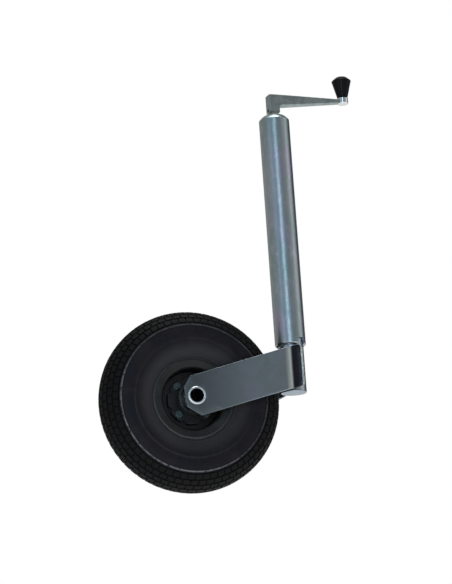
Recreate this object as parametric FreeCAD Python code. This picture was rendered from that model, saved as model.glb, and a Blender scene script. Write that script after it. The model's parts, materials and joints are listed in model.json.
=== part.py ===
import FreeCAD, Part
import math
import os

# Trailer tongue jack with a pneumatic wheel, in millimetres, +Z up.
# The origin is on the outer tube's axis, halfway up its straight clamping wall.
# The wheel hangs on the -X side with its axle along Y, and the leg is fully retracted.
# "Left" is the -Y side and "right" is the +Y side.

V = FreeCAD.Vector
ORIGIN = V(0, 0, 0)
X = V(1, 0, 0)
Y = V(0, 1, 0)
Z = V(0, 0, 1)

# ---- driving dimensions ----

# outer tube
CLAMP_R = 24.0
OUTER_WALL = 3.0
CLAMP_LENGTH = 362.0
OUTER_BORE_R = CLAMP_R - OUTER_WALL
TOP_Z = CLAMP_LENGTH / 2
BOTTOM_Z = -CLAMP_LENGTH / 2
SHOULDER_HEIGHT = 10.3
SHOULDER_HOLE_R = 9.5
LIP_DROP = 5.0
LIP_R = 20.3
NOTCH_WIDTH = 14.0
NOTCH_TOP_Z = BOTTOM_Z + 6.0
NOTCH_ROUND = 3.5

# telescopic leg
LEG_R = 20.0
LEG_BORE_R = 17.0
LEG_TOP_Z = 145.0
LEG_FOOT_Z = BOTTOM_Z - 76.0
PLUG_FLANGE = 2.0
PLUG_DEPTH = 9.0
PLUG_WALL = 3.0
PLUG_FLOOR = 1.0

# screw and thrust bearing
JOURNAL_R = 8.0
JOURNAL_GAP = 0.06
SPIGOT_R = 5.5
CREST_R = 9.0
ROOT_R = 6.8
PITCH = 4.0
RIDGE_COUNT = 67
COLLAR_R = 15.0
COLLAR_TOP_Z = 158.0
COLLAR_HEIGHT = 5.0
THREAD_TOP_Z = COLLAR_TOP_Z - COLLAR_HEIGHT - 3.0
THREAD_FOOT_Z = THREAD_TOP_Z - RIDGE_COUNT * PITCH
SCREW_TAIL = 9.0
SPINDLE_TOP_Z = 215.5
STOP_R = 12.0
STOP_HEIGHT = 6.0
BALL_R = 3.0
BALL_COUNT = 9
BALL_CIRCLE_R = 12.3
BALL_GAP = 0.08
BALL_Z = COLLAR_TOP_Z + 6.0
RACE_R = 16.8
RACE_HEIGHT = 4.2
CAGE_R = 15.9
CAGE_BORE_R = 8.7
CAGE_T = 2.0
SEAT_Z = COLLAR_TOP_Z + 12.0
SEAT_HEIGHT = 8.5

# nut in the leg
NUT_R = LEG_BORE_R - 0.08
NUT_HEIGHT = 33.0
NUT_BORE_R = CREST_R + 0.07
NUT_TOP_Z = LEG_TOP_Z - 0.1
SNAP_BORE_R = 13.5
SNAP_T = 2.0
BUSH_R = OUTER_BORE_R - 0.1
BUSH_BORE_R = 10.2
BUSH_CAP = 4.0
BUSH_SKIRT = 25.0

# wheel and axle
SLOPE = 15.5
ARM_Z = BOTTOM_Z - 43.0
AXLE_X = -166.3
AXLE_Z = ARM_Z + AXLE_X * math.tan(math.radians(SLOPE))
AXLE = V(AXLE_X, 0, AXLE_Z)
AXLE_R = 11.2
AXLE_BORE_R = 9.6
FLARE_R = 14.2
FLARE_T = 2.9
MOUTH_R = 10.9
TYRE_R = 140.0
TYRE_HALF_WIDTH = 40.0
TYRE_WALL = 5.5
TYRE_CROWN_WALL = 9.0
WIDEST_R = 98.0
AIR_TUBE_R = 93.0
AIR_TUBE_HALF_R = 37.0
AIR_TUBE_HALF_Y = 31.0
AIR_TUBE_WALL = 2.0
BEAD_SEAT_R = 50.8
FLANGE_R = 62.0
RIM_BORE_R = 24.0
BOSS_R = 37.0
BOSS_Y = 14.0
BOLT_CIRCLE_R = 30.4
BOLT_R = 3.0
BOLT_COUNT = 4
BOLT_TURN = 45.0
HEX_WIDTH = 10.0
HEAD_HEIGHT = 4.0
NUT_THICKNESS = 5.0
WASHER_R = 5.8
WASHER_T = 1.2
LOBE_GAP_R = 4.6
HUB_HALF = 34.0
HUB_SHOULDER = 2.0
SPACER_R = 13.6
BEARING_R = 21.0
BEARING_WIDTH = 12.0
BEARING_Y = 21.5
BEARING_PITCH_R = 16.1
BEARING_BALL_R = 3.0
BEARING_BALLS = 9
INNER_RING_R = 13.8
OUTER_RING_BORE_R = 18.4
SEAL_T = 1.2
SEAL_INSET = 0.4
VALVE_TURN = 20.0
VALVE_R = 3.5
VALVE_CAP_R = 4.2
VALVE_LENGTH = 24.0
VALVE_Y = 9.5
VALVE_CIRCLE_R = 41.6

# fork arms
ARM_Y = 51.0
ARM_T = 5.0
ARM_HALF = 31.5
BEND_R = 18.0
BEND_TURN = 51.8
BEND_X = -25.2
BEND_STEPS = 12
STRAIGHT_AFTER_BEND = 42.0
ARM_TOP_LIMIT_Z = BOTTOM_Z - LIP_DROP - 0.5
WELD_R = 2.6
WELD_OUT = 0.9
WELD_TURN = 2.5
WELD_START = 7.0
WELD_END = 2.0

# crank
CRANK_TURN = 8.0
CRANK_R = 123.3
HUB_SIDE = 17.0
HUB_FOOT_Z = TOP_Z + 13.6
HUB_TOP_Z = TOP_Z + 42.9
ARM_ROOT_HEIGHT = 18.1
ROOT_ROUND = 4.0
TIP_WIDTH = 10.0
TIP_HEIGHT = 5.6
EDGE_R = 1.2
COLLAR_TIP_R = 8.7
COLLAR_TIP_FOOT_Z = TOP_Z + 35.9
COLLAR_TIP_TOP_Z = TOP_Z + 46.8
ROLL_PIN_R = 2.5
ROLL_PIN_BORE_R = 1.2
ROLL_PIN_PROUD = 0.4
ROLL_PIN_Z = HUB_FOOT_Z + 3.8
KNOB_HEIGHT = 34.3
KNOB_TOP_R = 15.5
KNOB_FOOT_R = 8.8
KNOB_GAP = 0.4
STUD_R = 4.0
STUD_HEIGHT = 25.0
CLIP_FOOT = 22.0
CLIP_GROOVE = 1.6
CLIP_R = 6.4


# ---- helpers ----

def outline(steps, place):
    """A closed face from steps: (a, b) is a straight run to that point, and (am, bm, a, b) is an arc
    through (am, bm). The first step says how the last point is joined to the first."""
    points = [place(*step[-2:]) for step in steps]
    edges = []
    for index, step in enumerate(steps[1:] + steps[:1]):
        start = points[index]
        end = place(*step[-2:])
        if len(step) == 4:
            edges.append(Part.Arc(start, place(*step[:2]), end).toShape())
        else:
            edges.append(Part.LineSegment(start, end).toShape())
    return Part.Face(Part.Wire(edges))


def turned(steps):
    """A solid turned about the Z axis, from steps in (radius, z)."""
    face = outline(steps, lambda r, z: V(r, 0, z))
    return face.revolve(ORIGIN, Z, 360)


def wheel_turned(steps):
    """A solid turned about the wheel's axle, from steps in (radius, y)."""
    face = outline(steps, lambda r, y: AXLE + V(r, y, 0))
    return face.revolve(AXLE, Y, 360)


def rod(radius, low, high, base=ORIGIN, axis=Z):
    return Part.makeCylinder(radius, high - low, base + axis * low, axis)


def ring(outer, inner, low, high, base=ORIGIN, axis=Z):
    return rod(outer, low, high, base, axis).cut(rod(inner, low, high, base, axis))


def mirrored(shape):
    """The shape on the other side of the jack's middle plane."""
    return shape.mirror(ORIGIN, Y)


def both_sides(shape):
    return [shape, mirrored(shape)]


def around(shape, count, base, axis, start=0.0):
    """Copies of a shape, evenly spaced round an axis."""
    return [shape.rotated(base, axis, start + index * 360.0 / count) for index in range(count)]


def cut_all(shape, tools):
    for tool in tools:
        shape = shape.cut(tool)
    return shape


def rounded_edges(shape, radius, wanted):
    """Fillets the edges that the function wanted picks."""
    return shape.makeFillet(radius, [edge for edge in shape.Edges if wanted(edge)])


def write(nodes):
    os.makedirs("parts", exist_ok=True)
    for name, shape in nodes.items():
        if isinstance(shape, list):
            shape = Part.makeCompound(shape)
        shape.exportStep("parts/" + name + ".step")


# ---- outer tube with its bearing ----

def fork_side(radius, degrees):
    """A point at a radius, turned from +X towards -Y by an angle: the left arm's side of the tube."""
    angle = math.radians(degrees)
    return V(radius * math.cos(angle), -radius * math.sin(angle), 0)


def seam_angle():
    """Where the left arm's outer face meets the inner tube, turned from +X towards -Y."""
    turn = math.radians(BEND_TURN)
    along = V(math.cos(turn), math.sin(turn), 0)
    start = arm_section_points(BEND_TURN, 0)[0]
    nearest = -start.dot(along)
    foot = start + along * nearest
    entry = foot - along * math.sqrt(LEG_R ** 2 - foot.Length ** 2)
    return math.degrees(math.atan2(-entry.y, entry.x))


def outer_tube():
    shell = turned([
        (23.1, BOTTOM_Z - 3.3, CLAMP_R, BOTTOM_Z),
        (CLAMP_R, TOP_Z),
        (17.6, TOP_Z + 6.6, SHOULDER_HOLE_R, TOP_Z + SHOULDER_HEIGHT),
        (SHOULDER_HOLE_R, TOP_Z + SHOULDER_HEIGHT - OUTER_WALL),
        (15.6, TOP_Z + 4.0, OUTER_BORE_R, TOP_Z - 1.5),
        (OUTER_BORE_R, BOTTOM_Z - 1.0),
        (LIP_R, BOTTOM_Z - 3.4),
        (LIP_R, BOTTOM_Z - LIP_DROP),
        (LIP_R + 0.5, BOTTOM_Z - LIP_DROP),
    ])
    tools = []
    for turn in (-seam_angle(), seam_angle()):
        slot = Part.makeBox(CLAMP_R, NOTCH_WIDTH, 20, V(10, -NOTCH_WIDTH / 2, NOTCH_TOP_Z - 20))
        slot = rounded_edges(slot, NOTCH_ROUND, lambda e: e.BoundBox.ZMin > NOTCH_TOP_Z - 1 and e.BoundBox.XLength > 5)
        tools.append(slot.rotated(ORIGIN, Z, turn))
    return cut_all(shell, tools)


def ball_groove():
    return Part.makeTorus(BALL_CIRCLE_R, BALL_R + BALL_GAP, V(0, 0, BALL_Z), Z)


def thrust_bearing():
    upper = ring(RACE_R, JOURNAL_R + 0.6, SEAT_Z - RACE_HEIGHT, SEAT_Z)
    lower = ring(RACE_R, JOURNAL_R, COLLAR_TOP_Z, COLLAR_TOP_Z + RACE_HEIGHT)
    balls = around(Part.makeSphere(BALL_R, V(BALL_CIRCLE_R, 0, BALL_Z)), BALL_COUNT, ORIGIN, Z)
    pocket = rod(BALL_R + BALL_GAP, BALL_Z - CAGE_T, BALL_Z + CAGE_T, V(BALL_CIRCLE_R, 0, 0))
    cage = ring(CAGE_R, CAGE_BORE_R, BALL_Z - CAGE_T / 2, BALL_Z + CAGE_T / 2)
    return {
        "bearing_seat": ring(OUTER_BORE_R, JOURNAL_R + JOURNAL_GAP, SEAT_Z, SEAT_Z + SEAT_HEIGHT),
        "thrust_race_upper": upper.cut(ball_groove()),
        "thrust_race_lower": lower.cut(ball_groove()),
        "thrust_balls": balls,
        "thrust_cage": cut_all(cage, around(pocket, BALL_COUNT, ORIGIN, Z)),
    }


# ---- crank and screw ----

def spindle():
    """The screw: spigot in the crank hub, journal, collar and a thread drawn as ridges."""
    steps = [
        (0, SPINDLE_TOP_Z),
        (SPIGOT_R - 1, SPINDLE_TOP_Z),
        (SPIGOT_R, SPINDLE_TOP_Z - 1),
        (SPIGOT_R, HUB_FOOT_Z),
        (JOURNAL_R, HUB_FOOT_Z),
        (JOURNAL_R, COLLAR_TOP_Z),
        (COLLAR_R, COLLAR_TOP_Z),
        (COLLAR_R, COLLAR_TOP_Z - COLLAR_HEIGHT),
        (ROOT_R, COLLAR_TOP_Z - COLLAR_HEIGHT),
    ]
    for index in range(RIDGE_COUNT):
        top = THREAD_TOP_Z - index * PITCH
        steps += [(ROOT_R, top), (CREST_R, top - 0.65), (CREST_R, top - 2.0), (ROOT_R, top - 2.65)]
    tail = THREAD_FOOT_Z - SCREW_TAIL
    steps += [(ROOT_R, tail + 1), (ROOT_R - 1, tail), (0, tail)]
    return turned(steps)


def end_stop():
    top = THREAD_FOOT_Z - 1
    return ring(STOP_R, ROOT_R, top - STOP_HEIGHT, top)


def crank_arm():
    """The forged crank along +X, before it is turned to its rest direction."""
    half = HUB_SIDE / 2
    tip_x = CRANK_R - 1
    root_z = HUB_TOP_Z - ARM_ROOT_HEIGHT
    side = outline([
        (half, HUB_FOOT_Z),
        (-half, HUB_FOOT_Z),
        (-half, HUB_TOP_Z),
        (tip_x, HUB_TOP_Z),
        (tip_x, HUB_TOP_Z - TIP_HEIGHT),
        (half + ROOT_ROUND, root_z + 0.4),
        (half + 1.1, root_z - 0.9, half, root_z - ROOT_ROUND),
    ], lambda x, z: V(x, -half, z)).extrude(Y * HUB_SIDE)
    plan = outline([
        (-half, -half),
        (half, -half),
        (tip_x, -TIP_WIDTH / 2),
        (tip_x, TIP_WIDTH / 2),
        (half, half),
        (-half, half),
    ], lambda x, y: V(x, y, HUB_FOOT_Z)).extrude(Z * (HUB_TOP_Z - HUB_FOOT_Z))
    blank = side.common(plan)
    blank = rounded_edges(blank, EDGE_R, lambda e: e.BoundBox.ZMax > HUB_FOOT_Z + 1 and e.BoundBox.XMin < tip_x - 1)
    blank = blank.cut(rod(COLLAR_TIP_R, HUB_FOOT_Z, HUB_TOP_Z, V(CRANK_R, 0, 0)))
    blank = max(blank.Solids, key=lambda solid: solid.Volume)
    return blank.cut(rod(SPIGOT_R, HUB_FOOT_Z - 1, SPINDLE_TOP_Z)).cut(roll_pin_hole())


def roll_pin_rod(radius):
    reach = HUB_SIDE / 2 + ROLL_PIN_PROUD
    return rod(radius, -reach, reach, V(0, 0, ROLL_PIN_Z), X)


def roll_pin_hole():
    return roll_pin_rod(ROLL_PIN_R)


def knob_parts():
    """The stud with its collar, the knob and its clip, about the knob's own axis at X = CRANK_R."""
    foot = COLLAR_TIP_TOP_Z
    top = foot + KNOB_HEIGHT
    clip_z = foot + CLIP_FOOT
    hollow_r = 2 * STUD_R
    bore_r = STUD_R + JOURNAL_GAP
    stud = turned([
        (0, COLLAR_TIP_FOOT_Z),
        (COLLAR_TIP_R - 2.2, COLLAR_TIP_FOOT_Z),
        (COLLAR_TIP_R - 0.6, COLLAR_TIP_FOOT_Z + 0.7, COLLAR_TIP_R, COLLAR_TIP_FOOT_Z + 2.4),
        (COLLAR_TIP_R, foot - 1.2),
        (COLLAR_TIP_R - 1.0, foot),
        (STUD_R, foot),
        (STUD_R, clip_z),
        (STUD_R - 1.0, clip_z),
        (STUD_R - 1.0, clip_z + CLIP_GROOVE),
        (STUD_R, clip_z + CLIP_GROOVE),
        (STUD_R - 0.8, foot + STUD_HEIGHT),
        (0, foot + STUD_HEIGHT),
    ])
    knob = turned([
        (bore_r, foot + KNOB_GAP),
        (KNOB_FOOT_R - 1.2, foot + KNOB_GAP),
        (KNOB_FOOT_R - 0.3, foot + 0.8, KNOB_FOOT_R, foot + 1.8),
        (KNOB_TOP_R - 0.5, top - 8.4),
        (KNOB_TOP_R, top - 6.6, KNOB_TOP_R - 0.8, top - 5.2),
        (9.4, top - 0.7),
        (8.5, top - 0.2, 7.4, top),
        (0, top),
        (0, top - 4.0),
        (hollow_r, top - 5.5),
        (hollow_r, clip_z - 0.6),
        (bore_r, clip_z - 0.6),
    ])
    clip = ring(CLIP_R, STUD_R - 1.0, clip_z + 0.1, clip_z + CLIP_GROOVE - 0.1)
    return stud, knob, clip


def crank_group():
    stud, knob, clip = knob_parts()
    to_tip = V(CRANK_R, 0, 0)
    along_x = {
        "crank_arm": crank_arm(),
        "crank_roll_pin": roll_pin_rod(ROLL_PIN_R).cut(roll_pin_rod(ROLL_PIN_BORE_R)),
        "knob_stud": stud.translated(to_tip),
        "crank_knob": knob.translated(to_tip),
        "knob_clip": clip.translated(to_tip),
        "spindle": spindle().cut(roll_pin_hole()),
        "spindle_end_stop": end_stop(),
    }
    return {name: shape.rotated(ORIGIN, Z, CRANK_TURN) for name, shape in along_x.items()}


# ---- leg ----

def leg_tube_group():
    foot = LEG_FOOT_Z
    bush = turned([
        (BUSH_BORE_R, LEG_TOP_Z),
        (LEG_R, LEG_TOP_Z),
        (LEG_R, LEG_TOP_Z - BUSH_SKIRT),
        (BUSH_R, LEG_TOP_Z - BUSH_SKIRT),
        (BUSH_R, LEG_TOP_Z + BUSH_CAP - 1),
        (BUSH_R - 1, LEG_TOP_Z + BUSH_CAP),
        (BUSH_BORE_R, LEG_TOP_Z + BUSH_CAP),
    ])
    plug = turned([
        (0, foot - PLUG_FLANGE),
        (LEG_R - 1.2, foot - PLUG_FLANGE),
        (LEG_R - 0.3, foot - PLUG_FLANGE + 0.3, LEG_R, foot - PLUG_FLANGE + 1.2),
        (LEG_R, foot),
        (LEG_BORE_R, foot),
        (LEG_BORE_R, foot + PLUG_DEPTH),
        (LEG_BORE_R - PLUG_WALL, foot + PLUG_DEPTH),
        (LEG_BORE_R - PLUG_WALL, foot + PLUG_FLOOR),
        (0, foot + PLUG_FLOOR),
    ])
    nut = turned([
        (NUT_BORE_R, NUT_TOP_Z - NUT_HEIGHT),
        (NUT_R, NUT_TOP_Z - NUT_HEIGHT),
        (NUT_R, NUT_TOP_Z),
        (NUT_BORE_R + 1, NUT_TOP_Z),
        (NUT_BORE_R, NUT_TOP_Z - 1),
    ])
    snap_top = NUT_TOP_Z - NUT_HEIGHT - 0.1
    return {
        "inner_tube": ring(LEG_R, LEG_BORE_R, foot, LEG_TOP_Z),
        "leg_end_plug": plug,
        "guide_bush": bush,
        "spindle_nut": nut,
        "nut_snap_ring": ring(LEG_BORE_R, SNAP_BORE_R, snap_top - SNAP_T, snap_top),
    }


def arm_section_points(turn_deg, beyond):
    """Outer and inner corner, in plan, of the left arm's section after a turn of the bend."""
    turn = math.radians(turn_deg)
    centre = V(BEND_X, -ARM_Y + BEND_R, 0)
    outward = V(math.sin(turn), -math.cos(turn), 0)
    along = V(math.cos(turn), math.sin(turn), 0) * beyond
    return centre + outward * BEND_R + along, centre + outward * (BEND_R - ARM_T) + along


def arm_section(turn_deg, beyond):
    """The left arm's section as a wire; its height follows the strap's slope along its length."""
    middle_r = BEND_R - ARM_T / 2
    length = middle_r * math.radians(turn_deg) + beyond
    rise = math.tan(math.radians(SLOPE))
    middle = ARM_Z + (BEND_X + length) * rise
    half = ARM_HALF / math.cos(math.radians(SLOPE))
    outer, inner = arm_section_points(turn_deg, beyond)
    low = V(0, 0, middle - half)
    high = V(0, 0, middle + half)
    corners = [outer + low, inner + low, inner + high, outer + high]
    return Part.makePolygon(corners + corners[:1])


def arm_flat():
    """The straight part of the left arm, from its cut-off end corners to the bend."""
    slope = math.radians(SLOPE)
    along = V(math.cos(slope), 0, math.sin(slope))
    up = V(-math.sin(slope), 0, math.cos(slope))
    start = V(AXLE_X, -ARM_Y, AXLE_Z)
    end_corners = [(-2.0, -ARM_HALF), (-20.0, -12.0), (-14.5, 18.5), (0.0, ARM_HALF)]
    corners = [start + along * a + up * b for a, b in end_corners]
    half = ARM_HALF / math.cos(slope)
    middle = ARM_Z + BEND_X * math.tan(slope)
    corners += [V(BEND_X, -ARM_Y, middle + half), V(BEND_X, -ARM_Y, middle - half)]
    return Part.Face(Part.makePolygon(corners + corners[:1])).extrude(Y * ARM_T)


def fork_arm():
    """The left arm: a flat strap, bent once, cut to sit on the inner tube."""
    sections = [arm_section(BEND_TURN * step / BEND_STEPS, 0) for step in range(BEND_STEPS + 1)]
    bend = Part.makeLoft(sections, True, True)
    inner_leg = Part.makeLoft([sections[-1], arm_section(BEND_TURN, STRAIGHT_AFTER_BEND)], True, True)
    arm = arm_flat().fuse([bend, inner_leg])
    arm = arm.cut(rod(LEG_R, LEG_FOOT_Z - 50, 0))
    arm = arm.cut(rod(CLAMP_R + 6, ARM_TOP_LIMIT_Z, ARM_TOP_LIMIT_Z + 40))
    return arm.cut(rod(AXLE_R, -ARM_Y - 1, -ARM_Y + ARM_T + 1, AXLE, Y))


def weld_bead(arm):
    """The weld along the line where the left arm's outer face meets the tube."""
    rise = math.tan(math.radians(SLOPE))
    arm_foot = ARM_Z - ARM_HALF / math.cos(math.radians(SLOPE)) + (LEG_R / 2) * rise
    low = arm_foot + WELD_START
    high = ARM_TOP_LIMIT_Z - WELD_END - WELD_R
    place = fork_side(LEG_R + WELD_OUT, seam_angle() - WELD_TURN)
    ends = [Part.makeSphere(WELD_R, place + Z * z) for z in (low, high)]
    bead = rod(WELD_R, low, high, place).fuse(ends)
    bead = bead.cut(rod(LEG_R, LEG_FOOT_Z - 50, 0)).cut(arm)
    return max(bead.Solids, key=lambda solid: solid.Volume)


def fork_group():
    left = fork_arm()
    bead = weld_bead(left)
    return {
        "fork_arm_left": left,
        "fork_arm_right": mirrored(left),
        "weld_beads": both_sides(bead),
    }


# ---- axle, hub and bearings ----

def axle_tube():
    """A tube flared over the outer face of each arm."""
    right_end = [
        (AXLE_BORE_R, ARM_Y - 4.5),
        (AXLE_BORE_R + 0.2, ARM_Y + 0.5, MOUTH_R, ARM_Y + FLARE_T),
        (FLARE_R - 0.9, ARM_Y + FLARE_T - 0.4, FLARE_R, ARM_Y + 0.7),
        (FLARE_R, ARM_Y),
        (AXLE_R, ARM_Y),
    ]
    left_end = [
        (AXLE_R, -ARM_Y),
        (FLARE_R, -ARM_Y),
        (FLARE_R, -ARM_Y - 0.7),
        (FLARE_R - 0.9, -ARM_Y - FLARE_T + 0.4, MOUTH_R, -ARM_Y - FLARE_T),
        (AXLE_BORE_R + 0.2, -ARM_Y - 0.5, AXLE_BORE_R, -ARM_Y + 4.5),
    ]
    return wheel_turned(right_end + left_end)


def wheel_ring(outer, inner, low, high):
    return ring(outer, inner, low, high, AXLE, Y)


def wheel_bearings():
    """Two ball bearings, each with rings, balls and one outer seal; the right one is mirrored left."""
    middle = BEARING_Y + BEARING_WIDTH / 2
    end = BEARING_Y + BEARING_WIDTH
    groove = Part.makeTorus(BEARING_PITCH_R, BEARING_BALL_R + BALL_GAP, AXLE + Y * middle, Y)
    outer_ring = wheel_ring(BEARING_R, OUTER_RING_BORE_R, BEARING_Y, end).cut(groove)
    inner_ring = wheel_ring(INNER_RING_R, AXLE_R, BEARING_Y, end).cut(groove)
    ball = Part.makeSphere(BEARING_BALL_R, AXLE + V(BEARING_PITCH_R, middle, 0))
    balls = around(ball, BEARING_BALLS, AXLE, Y)
    seal_end = end - SEAL_INSET
    seal = wheel_ring(OUTER_RING_BORE_R, INNER_RING_R + 0.1, seal_end - SEAL_T, seal_end)
    return {
        "bearing_outer_rings": both_sides(outer_ring),
        "bearing_inner_rings": both_sides(inner_ring),
        "bearing_balls": balls + [mirrored(shape) for shape in balls],
        "bearing_seals": both_sides(seal),
    }


def hub_group():
    inner_face = ARM_Y - ARM_T
    end = BEARING_Y + BEARING_WIDTH
    hub = wheel_ring(RIM_BORE_R, BEARING_R, -HUB_HALF, HUB_HALF)
    shoulder = wheel_ring(BEARING_R, BEARING_R - HUB_SHOULDER, -BEARING_Y, BEARING_Y)
    nodes = {
        "axle_tube": axle_tube(),
        "axle_spacers": both_sides(wheel_ring(SPACER_R, AXLE_R, end, inner_face)),
        "bearing_spacer": wheel_ring(SPACER_R, AXLE_R, -BEARING_Y, BEARING_Y),
        "hub_sleeve": hub.fuse(shoulder).removeSplitter(),
    }
    nodes.update(wheel_bearings())
    return nodes


# ---- wheel ----

def rim_half():
    """The right half of the rim, with a lobed boss that the bolts go through."""
    half = wheel_turned([
        (RIM_BORE_R, 0),
        (RIM_BORE_R, BOSS_Y),
        (BOSS_R - 1.2, BOSS_Y),
        (BOSS_R - 0.4, BOSS_Y - 0.4, BOSS_R, BOSS_Y - 1.2),
        (BOSS_R, 4.5),
        (44.5, 4.5),
        (45.9, 5.1, 46.5, 6.5),
        (46.5, 24.0),
        (47.6, 27.0, 50.6, 28.6),
        (57.5, 29.8),
        (61.0, 29.6, FLANGE_R, 27.4),
        (61.6, 26.4, 60.6, 26.2),
        (53.0, 25.0),
        (51.4, 24.4, BEAD_SEAT_R, 22.8),
        (BEAD_SEAT_R, 8.0),
        (BEAD_SEAT_R - 1.2, 5.5),
        (BEAD_SEAT_R - 1.2, 0),
    ])
    gap = rod(LOBE_GAP_R, 6.5, BOSS_Y + 1, AXLE + X * (BOSS_R + 0.8), Y)
    gaps = around(gap, 2 * BOLT_COUNT, AXLE, Y, BOLT_TURN / 2)
    hole = rod(BOLT_R + 0.3, -1, BOSS_Y + 1, AXLE + X * BOLT_CIRCLE_R, Y)
    holes = around(hole, BOLT_COUNT, AXLE, Y, BOLT_TURN)
    return cut_all(half, gaps + holes)


def hexagon(low, high, base):
    """A six-sided prism along Y with the corners of its far end turned off."""
    flat_r = HEX_WIDTH / 2
    corner_r = HEX_WIDTH / math.sqrt(3)
    turns = [math.radians(60 * index) for index in range(7)]
    corners = [base + V(corner_r * math.cos(turn), low, corner_r * math.sin(turn)) for turn in turns]
    prism = Part.Face(Part.makePolygon(corners)).extrude(Y * (high - low))
    taper = 1.6 * (high - low)
    cone = Part.makeCone(flat_r - 0.2 + taper, flat_r - 0.2, high - low, base + Y * low, Y)
    return prism.common(cone)


def rim_fasteners():
    """Bolt heads on the right side, nuts on the left side, a washer under each."""
    base = AXLE + X * BOLT_CIRCLE_R
    washer_y = BOSS_Y + WASHER_T
    head = hexagon(washer_y, washer_y + HEAD_HEIGHT, base)
    shank = rod(BOLT_R, -washer_y - NUT_THICKNESS - 2.5, washer_y, base, Y)
    bolt = head.fuse(shank)
    nut = mirrored(hexagon(washer_y, washer_y + NUT_THICKNESS, base)).cut(shank)
    washer = ring(WASHER_R, BOLT_R + 0.2, BOSS_Y, washer_y, base, Y)
    spread = {}
    for name, shapes in (("rim_bolts", [bolt]), ("rim_nuts", [nut]), ("rim_washers", both_sides(washer))):
        spread[name] = [copy for shape in shapes for copy in around(shape, BOLT_COUNT, AXLE, Y, BOLT_TURN)]
    return spread


def tyre():
    """A round-section tyre, open at the beads: the right half of its section, turned and mirrored."""
    inner_half = TYRE_HALF_WIDTH - TYRE_WALL
    right = wheel_turned([
        (BEAD_SEAT_R, 14.0),
        (BEAD_SEAT_R, 22.8),
        (51.4, 24.4, 53.0, 25.0),
        (60.6, 26.2),
        (61.9, 26.5, 62.6, 27.4),
        (78.0, TYRE_HALF_WIDTH - 3.2, WIDEST_R, TYRE_HALF_WIDTH),
        (127.7, 28.3, TYRE_R, 0),
        (TYRE_R - TYRE_CROWN_WALL, 0),
        (122.3, 24.6, WIDEST_R, inner_half),
        (77.0, inner_half - 3.6, 61.0, 20.5),
        (56.0, 15.0),
    ])
    return right.fuse(mirrored(right)).removeSplitter()


def ellipse_torus(centre_r, half_r, half_y):
    curve = Part.Ellipse(AXLE + X * (centre_r + half_r), AXLE + X * centre_r + Y * half_y, AXLE + X * centre_r)
    return Part.Face(Part.Wire([curve.toShape()])).revolve(AXLE, Y, 360)


def air_tube():
    skin = ellipse_torus(AIR_TUBE_R, AIR_TUBE_HALF_R, AIR_TUBE_HALF_Y)
    air_r = AIR_TUBE_HALF_R - AIR_TUBE_WALL
    air_y = AIR_TUBE_HALF_Y - AIR_TUBE_WALL
    return skin.cut(ellipse_torus(AIR_TUBE_R, air_r, air_y))


def valve():
    """A rubber stem through the rim's right half, bent outward, with its cap."""
    corner = AXLE + V(VALVE_CIRCLE_R, VALVE_Y, 0)
    stem = rod(VALVE_R, 0, 14.2, corner, X)
    stem = stem.fuse([Part.makeSphere(VALVE_R, corner), rod(VALVE_R, 0, VALVE_LENGTH, corner, Y)])
    cap_end = VALVE_LENGTH + 9.8
    face = outline([
        (0, VALVE_LENGTH),
        (VALVE_CAP_R, VALVE_LENGTH),
        (VALVE_CAP_R, cap_end - 1.8),
        (VALVE_CAP_R - 0.6, cap_end - 0.6, VALVE_CAP_R - 2.0, cap_end),
        (0, cap_end),
    ], lambda r, y: corner + V(r, y, 0))
    cap = face.revolve(corner, Y, 360)
    return stem.removeSplitter().rotated(AXLE, Y, VALVE_TURN), cap.rotated(AXLE, Y, VALVE_TURN)


def wheel_group():
    stem, cap = valve()
    hole = rod(VALVE_R, -8, 16, AXLE + V(VALVE_CIRCLE_R + 6, VALVE_Y, 0), X).rotated(AXLE, Y, VALVE_TURN)
    right = rim_half()
    nodes = {
        "rim_half_right": right.cut(hole),
        "rim_half_left": mirrored(right),
        "tyre": tyre(),
        "air_tube": air_tube(),
        "valve_stem": stem,
        "valve_cap": cap,
    }
    nodes.update(rim_fasteners())
    return nodes


write({"outer_tube": outer_tube()})
for group in (thrust_bearing, crank_group, leg_tube_group, fork_group, hub_group, wheel_group):
    write(group())
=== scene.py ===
import json
import math

import bmesh
import bpy
from mathutils import Matrix, Vector


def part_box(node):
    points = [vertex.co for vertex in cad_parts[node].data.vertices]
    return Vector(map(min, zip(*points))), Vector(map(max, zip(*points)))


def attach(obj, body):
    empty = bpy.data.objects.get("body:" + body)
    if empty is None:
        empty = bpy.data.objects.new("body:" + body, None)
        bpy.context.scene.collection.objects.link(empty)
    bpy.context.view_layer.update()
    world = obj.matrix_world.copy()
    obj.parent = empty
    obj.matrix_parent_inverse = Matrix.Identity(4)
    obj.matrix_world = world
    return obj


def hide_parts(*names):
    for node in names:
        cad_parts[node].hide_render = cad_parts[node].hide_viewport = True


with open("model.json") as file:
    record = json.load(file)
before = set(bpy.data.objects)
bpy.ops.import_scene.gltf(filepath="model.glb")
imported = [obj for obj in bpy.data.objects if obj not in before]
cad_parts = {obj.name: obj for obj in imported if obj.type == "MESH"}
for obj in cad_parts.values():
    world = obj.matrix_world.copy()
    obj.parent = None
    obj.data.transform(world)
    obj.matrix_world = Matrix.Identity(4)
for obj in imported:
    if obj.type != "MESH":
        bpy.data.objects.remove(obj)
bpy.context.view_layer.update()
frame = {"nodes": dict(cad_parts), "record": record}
NODES = frame["nodes"]

# Trailer tongue jack. The axes are the part's own: +Z up the tube, the wheel hangs towards -X,
# its axle lies along Y, and the left fork arm is on the -Y side.

MM = 0.001
UP = Vector((0, 0, 1))

# ---- places read from the frame ----

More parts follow.
